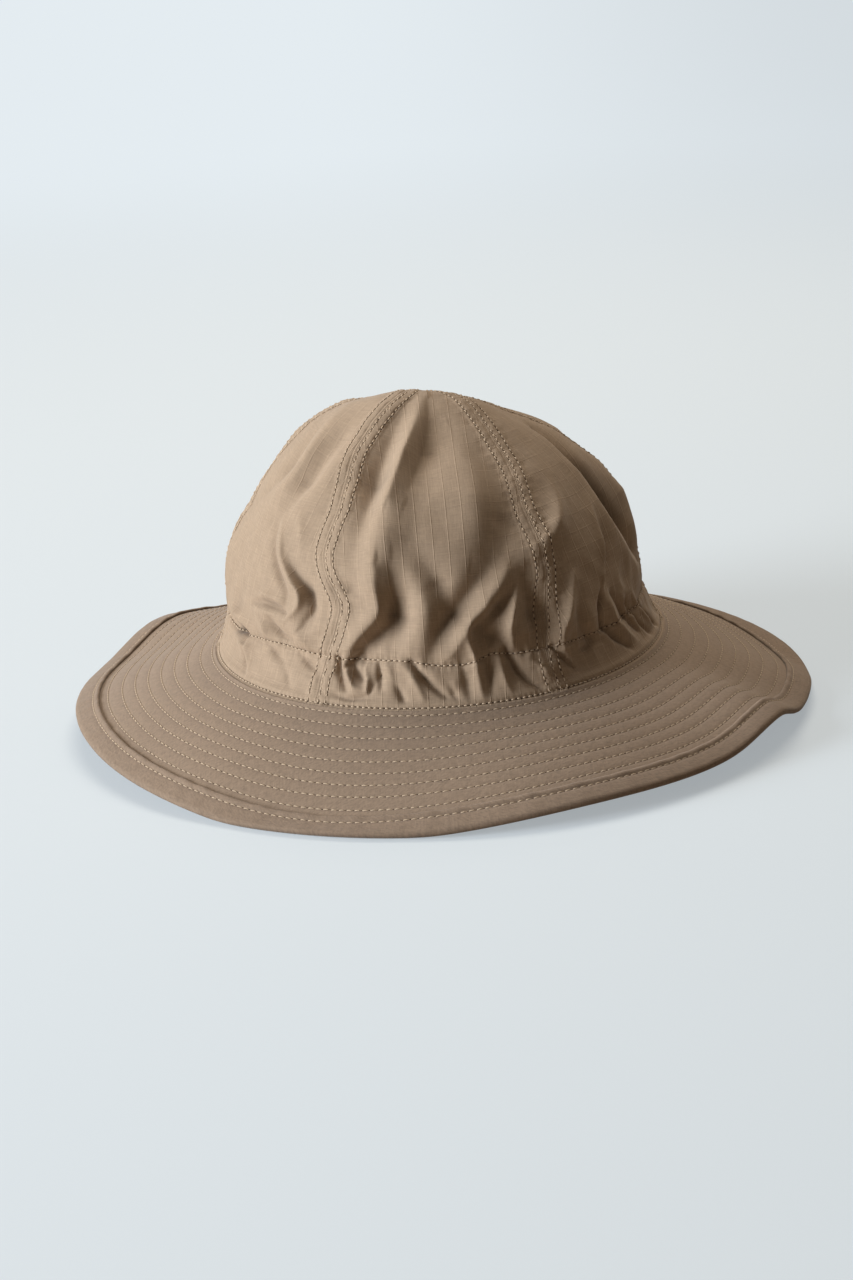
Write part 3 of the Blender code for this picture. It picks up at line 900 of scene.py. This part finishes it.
def brimSurface(angle, share, offset, relief=0.0):
    angle, share = np.broadcast_arrays(np.asarray(angle, float), np.asarray(share, float))
    turn = np.radians(angle)
    x = (seamHalf[0] + (brimHalf[0] - seamHalf[0]) * share) * np.sin(turn)
    y = -(seamHalf[1] + (brimHalf[1] - seamHalf[1]) * share) * np.cos(turn)
    z = brimMiddle - brimDrop(angle) * np.maximum(share, 0)
    for centre, halfWidth, most, lift in brimFolds:
        away = (angle - centre + 180) % 360 - 180
        z = z + lift * mm * bell(away, halfWidth) * smoothStep(share, 0.05, most)
    softFloor = brimShape["binding"]
    z = softFloor + np.logaddexp(0, (z - softFloor) / (0.35 * mm)) * 0.35 * mm
    z = z + 1.1 * mm * np.exp(-np.maximum(share, 0) * brimReach / (2.2 * mm)) * (share > -0.01)
    slope = np.arctan2(brimDrop(angle), brimReach)
    level = np.asarray(offset) + np.asarray(relief)
    x = x + level * np.sin(slope) * np.sin(turn)
    y = y - level * np.sin(slope) * np.cos(turn)
    z = z + level * np.cos(slope)
    return np.stack([x, y, z], -1)


def quilting(angle, out):
    # out is the distance from the crown in metres: the cloth dips at each row of stitching and puffs between, and
    # is darker along each row
    turn = np.radians(angle)
    relief = np.zeros(np.shape(out))
    seamsAndFoldShade = np.zeros(np.shape(out))
    rows = brimShape["rows"]
    for k, row in enumerate(rows):
        relief = relief - 0.20 * bell(out - row * mm, 0.6 * mm)
        seamsAndFoldShade = seamsAndFoldShade + 0.16 * bell(out - row * mm, 0.40 * mm)
        if k + 1 < len(rows):
            half = (rows[k + 1] - row) / 2
            hump = bell(out - (row + half) * mm, half * 0.62 * mm)
            ripple = np.sin(turn * (88 + 7 * k) + 1.9 * k + 3 * np.sin(turn * 11 + k) + (out / mm - row) * 0.9)
            relief = relief + hump * (0.07 + 0.045 * ripple)
    return relief * mm, np.clip(seamsAndFoldShade, 0, 1)


def brimStations():
    rows = brimShape["rows"]
    marks = [0.0] + [row + away for row in rows for away in (-1.3, -0.65, -0.25, 0, 0.25, 0.65, 1.3)]
    marks += [(a + b) / 2 for a, b in zip(rows, rows[1:])]
    marks += [47.6, 49.0, 51.0, 54.0, 57.4]
    return np.array(sorted({round(m, 3) for m in marks if m >= 0}))


def ringAngles(count):
    return np.arange(count)[:, None] * 360 / count


def makeLayer(title, node, count, stations, faces, look, mapped, withFoldShade=True):
    # one cloth of the brim between its upper and lower face, each an offset and its share of the quilting
    angle, out = ringAngles(count), np.array(stations)[None, :] * mm
    relief, seamsAndFoldShade = quilting(angle, np.broadcast_to(out, (angle.size, out.size)))
    sides = [brimSurface(angle, out / brimReach, offset, relief * part) for offset, part in faces]
    seamsAndFoldShade = seamsAndFoldShade if withFoldShade else None
    piece = shellPiece(title, *sides, True, *look, (node,), sides[mapped][..., :2], seamsAndFoldShade)


def makeBrim(use):
    cloth = use["cloth"]
    stations = brimStations()
    look = ("brimCloth", "brim_cloth")
    faces = [(use["upper"], 1), (use["upper"] - cloth, 0.6)]
    makeLayer("brimUpper", "brim_upper", use["angles"], [-1.8, *stations], faces, look, 0)
    faces = [(use["lower"] + cloth, -0.5), (use["lower"], -0.8)]
    ends = [-1.8, *stations[::2], 57.4]
    makeLayer("brimLower", "brim_lower", 360, ends, faces, look, 1)
    faces, look = [(cloth / 2, 0), (-cloth / 2, 0)], ("stiffener", "interlining")
    ends = [-1.6, 0, 8, 16, 24, 32, 40, 48, 56.8]
    makeLayer("brimInterlining", "brim_interlining", 120, ends, faces, look, 0, False)


bindingShape = {
    "stitch": 51.0,  # mm from the crown
    "cloth": 0.42,
    "innerEdge": 48.5,  # the stretch nearer the crown than this gets painted shade, where the binding's fold steps down
    "profile": [  # mm from the crown, mm above the middle, how much of the small wave it takes
        (48.35, 0.95, 0), (48.3, 1.5, 1), (48.6, 1.95, 1), (49.3, 2.15, 1), (50.1, 2.0, 1), (50.6, 1.65, 0.5),
        (51.0, 1.38, 0), (51.5, 1.55, 0.4), (52.6, 1.68, 0.6), (54.5, 1.62, 0.6), (56.6, 1.58, 0.4),
        (57.8, 1.40, 0.2), (58.35, 0.8, 0), (58.5, 0.0, 0), (58.35, -0.8, 0), (57.8, -1.40, 0), (56.0, -1.55, 0),
        (53.0, -1.55, 0), (51.2, -1.45, 0), (50.0, -1.6, 0), (49.2, -1.3, 0), (49.1, -0.95, 0),
    ],
}


def makeBinding():
    use = bindingShape
    angle = ringAngles(brimShape["angles"])
    turn = np.radians(angle)
    wave = 0.12 * np.sin(turn * 61 + 2 * np.sin(turn * 9)) + 0.08 * np.sin(turn * 97 + 1)
    outer, inner, dark = [], [], []
    for out, level, part in use["profile"]:
        outer.append(brimSurface(angle, out * mm / brimReach, level * mm, wave * part * mm)[:, 0])
        # painted shade on top of the inner fold, where the binding steps down, and a darker line at its stitching
        dark.append(0.75 if out < use["innerEdge"] and level > 0 else 0.4 * (out == use["stitch"]))
        within = min(out + (0.35 if out < 50 else 0.0), 57.95)
        level = np.sign(level) * max(abs(level) - use["cloth"], 0.0)
        inner.append(brimSurface(angle, within * mm / brimReach, level * mm, wave * part * mm)[:, 0])
    outer, inner = np.stack(outer, 1), np.stack(inner, 1)
    across = np.array([out for out, level, part in use["profile"]]) * mm
    uv = np.stack(np.broadcast_arrays(np.radians(angle) * brimHalf.mean(), across), -1)
    seamsAndFoldShade, nodes = np.broadcast_to(dark, outer.shape[:2]), ("brim_binding",)
    piece = shellPiece("brimBinding", outer, inner, True, "bindingCloth", "brim_cloth", nodes, uv, seamsAndFoldShade)


makeBrim(brimShape)
makeBinding()
print("brim made")

# Inside the crown

insideSettings = {
    "tape": {"width": 10.4 * mm, "depth": 0.95 * mm, "thickness": 0.4 * mm, "short": 12 * mm, "long": 4 * mm},
    "elastic": {"low": 1.8 * mm, "high": 13.5 * mm, "depth": 4.1 * mm, "thickness": 0.7 * mm},
    "sweatband": {"low": -4.0 * mm, "high": 24.0 * mm, "depth": 5.2 * mm, "thickness": 0.5 * mm},
}


def insidePoint(angle, climb, depth):
    place, facing = crown.at(angle, np.maximum(climb, 0))
    level = facing.copy()  # it goes straight inwards low down
    level[..., 2] = np.where(climb < 40 * mm, 0, level[..., 2])
    level /= np.linalg.norm(level, axis=-1, keepdims=True)
    moved = place - level * np.asarray(depth)[..., None]
    moved[..., 2] += np.minimum(climb, 0)
    return moved


def makeTape(seam, end):
    use = insideSettings["tape"]
    climb = np.linspace(0.6 * mm, end, 90)
    sides = np.linspace(-0.5, 0.5, 9)[:, None] * use["width"]
    angle = seamAngle(seam, climb) + np.degrees(np.arctan2(sides, planRadius(climb)))
    climbGrid = np.broadcast_to(climb, angle.shape)
    outer = insidePoint(angle, climbGrid, np.full(angle.shape, use["depth"]))
    inner = insidePoint(angle, climbGrid, np.full(angle.shape, use["depth"] + use["thickness"]))
    uv = np.stack(np.broadcast_arrays(sides, climbGrid), -1)
    return outer, inner, uv


def makeTapes():
    use = insideSettings["tape"]
    end = crownClimb - use["short"]
    for seam, side in ((30, "front_left"), (150, "back_left"), (210, "back_right"), (330, "front_right")):
        node = "seam_tape_" + side
        outer, inner, uv = makeTape(seam, end)
        piece = shellPiece("seamTape_" + side, outer, inner, False, "insideCloth", "tape", (node,), uv)
    halves = [makeTape(seam, crownClimb - use["long"]) for seam in (90, 270)]
    outer, inner, uv = (np.concatenate([a, b[::-1, ::-1]], axis=1) for a, b in zip(*halves))
    nodes = ("seam_tape_side_to_side",)
    piece = shellPiece("seamTape_side_to_side", outer, inner, False, "insideCloth", "tape", nodes, uv)
    flat, panels = (use["width"], float(2 * crownClimb)), ["crown_panel_front", "crown_panel_back"]


def makeBand(name, node, material, slot):
    use = insideSettings[name]
    climb = np.linspace(use["low"], use["high"], 16)[None, :]
    angle, climb = np.broadcast_arrays(ringAngles(240), climb)
    depth = np.full(angle.shape, use["depth"])
    outer = blurred(insidePoint(angle, climb, depth), 2)
    inner = blurred(insidePoint(angle, climb, depth + use["thickness"]), 2)
    uv = np.stack([np.radians(angle) * seamHalf.mean(), climb], -1)
    piece = shellPiece(name + "Band", outer, inner, True, material, slot, (node,), uv)


makeTapes()
makeBand("elastic", "elastic_band", "elastic", "elastic")
makeBand("sweatband", "sweatband", "insideCloth", "sweatband_cloth")
print("inside made")

# Stitching: each stitch is a short raised thread between two needle holes


def stitchRow(places, facings, pitch, gap):
    # evenly spaced stitches along a closely sampled line; gives their middles, directions and normals
    legs = np.linalg.norm(np.diff(places, axis=0), axis=1)
    length = np.concatenate([[0], np.cumsum(legs)])
    count = max(int(round(length[-1] / pitch)), 1)
    ends = np.linspace(0, length[-1], count + 1)

    def pick(values, where):
        return np.stack([np.interp(where, length, values[:, k]) for k in range(3)], 1)

    starts, stops = pick(places, ends[:-1]), pick(places, ends[1:])
    middles = pick(places, (ends[:-1] + ends[1:]) / 2)
    normals = pick(facings, (ends[:-1] + ends[1:]) / 2)
    normals /= np.linalg.norm(normals, axis=1, keepdims=True)
    along = stops - starts
    halves = np.linalg.norm(along, axis=1) / 2
    along /= np.maximum(2 * halves, 1e-9)[:, None]
    halves = halves * (1 - gap)
    return {"middle": middles, "along": along, "normal": normals, "half": halves, "hole": starts}


def joinRows(rows):
    return {key: np.concatenate([row[key] for row in rows]) for key in rows[0]}


threadShape = {
    "sides": 5,
    "stations": (-0.92, -0.55, 0.0, 0.55, 0.92),
    "lift": 0.14 * mm,
    "sink": 0.16 * mm,
    "taper": 0.55,
    "flatness": 0.8,
}
holeShape = {"sides": 6, "above": 0.07 * mm, "below": 0.1 * mm}


def smallPieces(name, rings, faceSets, material):
    # the same small solid at every stitch: each ring holds one of its corners for all the stitches
    starts = np.arange(len(rings[0]))[:, None, None] * len(rings)
    faces = []
    for kind in faceSets:
        kind = np.array(kind)
        faces += (kind[None] + starts).reshape(-1, kind.shape[1]).tolist()
    piece = meshPiece(name, np.stack(rings, 1).reshape(-1, 3), faces, material)
    mesh = bmesh.new()
    mesh.from_mesh(piece.data)
    bmesh.ops.recalc_face_normals(mesh, faces=mesh.faces)
    mesh.to_mesh(piece.data)
    mesh.free()


def threadPiece(name, stitches, radius):
    use = threadShape
    sides, stations = use["sides"], use["stations"]
    middle, along, normal = stitches["middle"], stitches["along"], stitches["normal"]
    sideways, half = np.cross(along, normal), stitches["half"]
    rings = []
    for t in stations:
        wide = radius * (1 - abs(t) ** 4 * use["taper"])
        rise = use["lift"] * (1 - t * t) - use["sink"] * t**4
        centre = middle + along * (half * t)[:, None] + normal * rise
        for s in range(sides):
            turn = 2 * pi * s / sides
            rings.append(centre + sideways * (wide * cos(turn)) + normal * (wide * sin(turn) * use["flatness"]))
    for t in (-1.0, 1.0):
        rings.append(middle + along * (half * t)[:, None] - normal * use["sink"])
    ring = [(s, (s + 1) % sides) for s in range(sides)]
    top, last = (len(stations) - 1) * sides, len(stations) * sides
    quads = [(k + a, k + b, k + b + sides, k + a + sides) for k in range(0, top, sides) for a, b in ring]
    caps = [(b, a, last) for a, b in ring] + [(top + a, top + b, last + 1) for a, b in ring]
    smallPieces(name, rings, [quads, caps], "thread")


def holeShadePiece(name, stitches, radius, length, slot="brim_cloth"):
    # a flat dark lens at each needle hole, drawn out along the row: painted shade for the hole's shadow
    use = holeShape
    hole, along, normal = stitches["hole"], stitches["along"], stitches["normal"]
    sideways, sides = np.cross(along, normal), use["sides"]
    rings = []
    for s in range(sides):
        turn = 2 * pi * s / sides
        rings.append(hole + sideways * (radius * cos(turn)) + along * (length * sin(turn)))
    rings += [hole + normal * use["above"], hole - normal * use["below"]]
    ring = [(s, (s + 1) % sides) for s in range(sides)]
    fans = [(a, b, sides) for a, b in ring] + [(b, a, sides + 1) for a, b in ring]
    smallPieces(name, rings, [fans], "needleHoleShade")


def brimRow(out, face=1):
    # face is 1 on top of the brim and -1 under it
    angle = np.linspace(0, 360, stitchSettings["samples"])
    onCloth = out < bindingShape["innerEdge"]
    relief = quilting(angle, np.full(angle.shape, out * mm))[0] if onCloth else 0.0
    offset = brimShape["upper"] if onCloth else 1.40 * mm
    places = brimSurface(angle, out * mm / brimReach, face * offset, face * relief * (1 if face > 0 else 0.8))
    slope = np.arctan2(brimDrop(angle), brimReach)
    turn = np.radians(angle)
    facings = np.stack([np.sin(slope) * np.sin(turn), -np.sin(slope) * np.cos(turn), np.cos(slope)], -1)
    return places + face * facings * 0.03 * mm, face * facings


stitchSettings = {
    "samples": 1441,
    "brim": {"pitch": 3.0 * mm, "gap": 0.22, "radius": 0.23 * mm, "hole": (0.26 * mm, 0.45 * mm)},
    "foot": {"pitch": 2.3 * mm, "gap": 0.3, "relief": -0.1 * mm},
    "channel": {"pitch": 2.3 * mm, "gap": 0.28, "relief": -0.26 * mm},
    "seam": {"pitch": 2.5 * mm, "gap": 0.38, "relief": 0.2 * mm, "low": 1.2 * mm, "short": 9 * mm},
    "crown": {"radius": 0.29 * mm, "hole": (0.27 * mm, 0.56 * mm)},
}


def makeBrimStitching():
    use = stitchSettings["brim"]
    outs = brimShape["rows"] + [bindingShape["stitch"]]
    rows = [stitchRow(*brimRow(out), use["pitch"], use["gap"]) for out in outs]
    under = [stitchRow(*brimRow(out, -1), use["pitch"], use["gap"]) for out in brimShape["rows"]]
    threadPiece("brimStitchingInner", joinRows(rows[:5]), use["radius"])
    threadPiece("brimStitchingOuter", joinRows(rows[5:]), use["radius"])
    holeShadePiece("brimNeedleHoleShade", joinRows(rows), *use["hole"])
    threadPiece("brimStitchingUnder", joinRows(under), use["radius"])


def crownRow(angle, climb, use):
    place, facing = crown.at(angle, climb)
    return stitchRow(place + facing * (use["relief"] + 0.04 * mm), facing, use["pitch"], use["gap"])


def makeCrownStitching():
    angle = np.linspace(0, 360, stitchSettings["samples"])
    panel, seams, threads = panelSettings, stitchSettings["seam"], stitchSettings["crown"]
    rows = [crownRow(angle, np.full(angle.shape, panel["footStitch"]), stitchSettings["foot"])]
    rows.append(crownRow(angle, channelClimb(angle), stitchSettings["channel"]))
    climb = np.linspace(seams["low"], crownClimb - seams["short"], 500)
    for seam in seamShift:
        for away in (-panel["stitchAway"], panel["innerRow"], panel["stitchAway"]):
            rows.append(crownRow(seamAngle(seam, climb) + np.degrees(away / planRadius(climb)), climb, seams))
    stitches = joinRows(rows)
    threadPiece("crownStitching", stitches, threads["radius"])
    holeShadePiece("crownNeedleHoleShade", stitches, *threads["hole"], "crown_cloth")


makeBrimStitching()
makeCrownStitching()
print("stitching done")

# Floor and backdrop, one swept sheet

floorSettings = {
    "front": -3.0,
    "back": 1.9,
    "radius": 0.9,
    "top": 3.2,
    "half": 3.5,
    "colour": (0.885, 0.955, 1.0),
    "bounce": (0.30, 0.24, 0.18),
    # the camera's share of even pale light, and its strength, near the hat and far from it
    "glow": (0.47, 0.985),
    "strength": (0.88, 0.895),
    "far": (0.45, 1.7),
    "dimmer": (-0.15, 0.6, 1.0, 0.85),  # painted shade: the glow darkens towards +X: from and to where, and by how much
}


def floorMaterial(use):
    # pale to the camera and duller to the light it throws back; the shadow stays in its lit share
    r = Recipe("floor")
    ray = r.node("ShaderNodeLightPath", {}, {}, output="Is Camera Ray")
    gloss = Value(r, ray.socket.node.outputs["Is Glossy Ray"])
    through = Value(r, ray.socket.node.outputs["Is Transmission Ray"])
    seen = r.clamp(ray + gloss + through)
    place = r.node("ShaderNodeTexCoord", {}, {}, output="Object")
    soft = r.speckle(place, 1.4, 2.0, 0.5)
    pale = r.mixed(soft, shade(use["colour"], 0.98), shade(use["colour"], 1.0))
    r.finish(r.mixed(seen, (*use["bounce"], 1), shade(use["colour"], 0.8)), 0.95)
    far = r.node("ShaderNodeVectorMath", {"operation": "LENGTH"}, {0: place}, output=1)
    sideways = r.node("ShaderNodeSeparateXYZ", {}, {"Vector": place}, output=0)
    share = r.smooth(far, *use["far"], *use["glow"])
    # painted shade: the glow is weaker towards +X, as the lamp's light falls off there
    strength = r.smooth(far, *use["far"], *use["strength"]) * r.smooth(sideways, *use["dimmer"])
    glow = r.node("ShaderNodeEmission", {}, {"Color": r.tinted(pale, strength), "Strength": 1.0})
    both = r.node("ShaderNodeMixShader", {}, {0: seen * share, 1: Value(r, r.shader.outputs[0]), 2: glow})
    r.tree.links.new(both.socket, r.tree.nodes["Material Output"].inputs["Surface"])
    return r.material


def makeFloor(use):
    profile = [(use["front"], 0.0)]
    for k in range(13):
        turn = radians(90 * k / 12)
        profile.append((use["back"] + use["radius"] * sin(turn), use["radius"] * (1 - cos(turn))))
    profile.append((use["back"] + use["radius"], use["top"]))
    points = [(x, y, z) for y, z in profile for x in (-use["half"], use["half"])]
    faces = [(2 * k, 2 * k + 1, 2 * k + 3, 2 * k + 2) for k in range(len(profile) - 1)]
    mesh = bpy.data.meshes.new("floor")
    mesh.from_pydata(points, [], faces)
    mesh.shade_smooth()
    mesh.materials.append(floorMaterial(use))
    floor = bpy.data.objects.new("floor", mesh)
    bpy.context.collection.objects.link(floor)
    floor.location = (0, 0, -0.05 * mm)


makeFloor(floorSettings)
